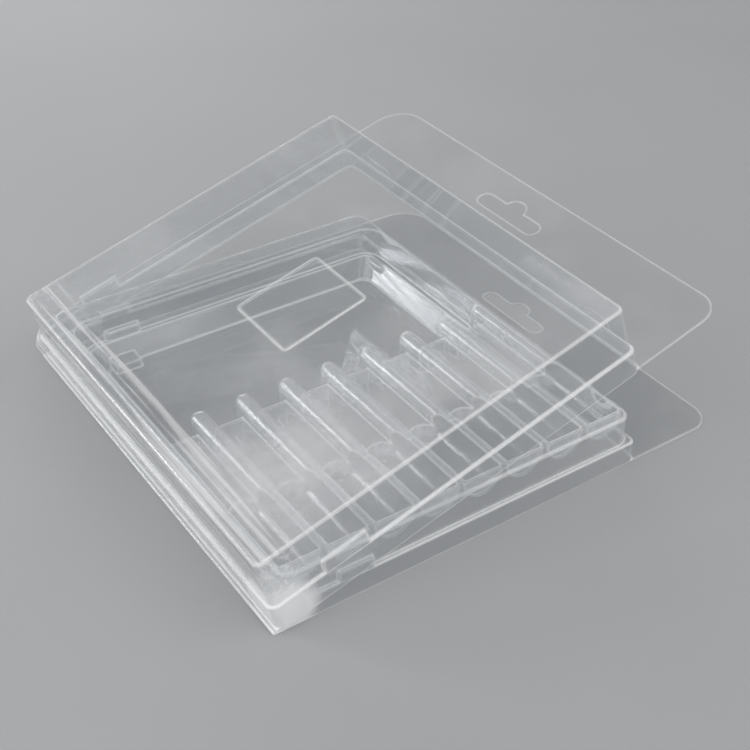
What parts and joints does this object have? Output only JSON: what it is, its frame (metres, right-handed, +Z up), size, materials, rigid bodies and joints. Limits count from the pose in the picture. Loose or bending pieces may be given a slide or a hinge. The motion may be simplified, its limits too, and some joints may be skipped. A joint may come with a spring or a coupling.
{
  "type": "plastic clamshell pack",
  "caption": "Clear thermoformed clamshell pack with a fluted tray, a hinged lid and slotted hang tabs, standing slightly open.",
  "frame": {"origin": "underside of the base, in the middle of its wall beside the fold", "axes": "+X from the fold to the hang tabs, +Y along the fold to the rear flange, +Z up"},
  "size_m": [0.1817, 0.1798, 0.065],
  "materials": {
    "clear_sheet": "crystal clear, glossy, thermoformed sheet"
  },
  "bodies": {
    "base": {"base_tray": "clear_sheet"},
    "lid": {"lid": "clear_sheet"}
  },
  "joints": [
    {"name": "lid_fold", "type": "hinge", "parent": "base", "child": "lid", "pos_m": [-0.002, 0, 0.00065], "axis": [0, -1, 0], "range_deg": [-16, 82]}
  ]
}
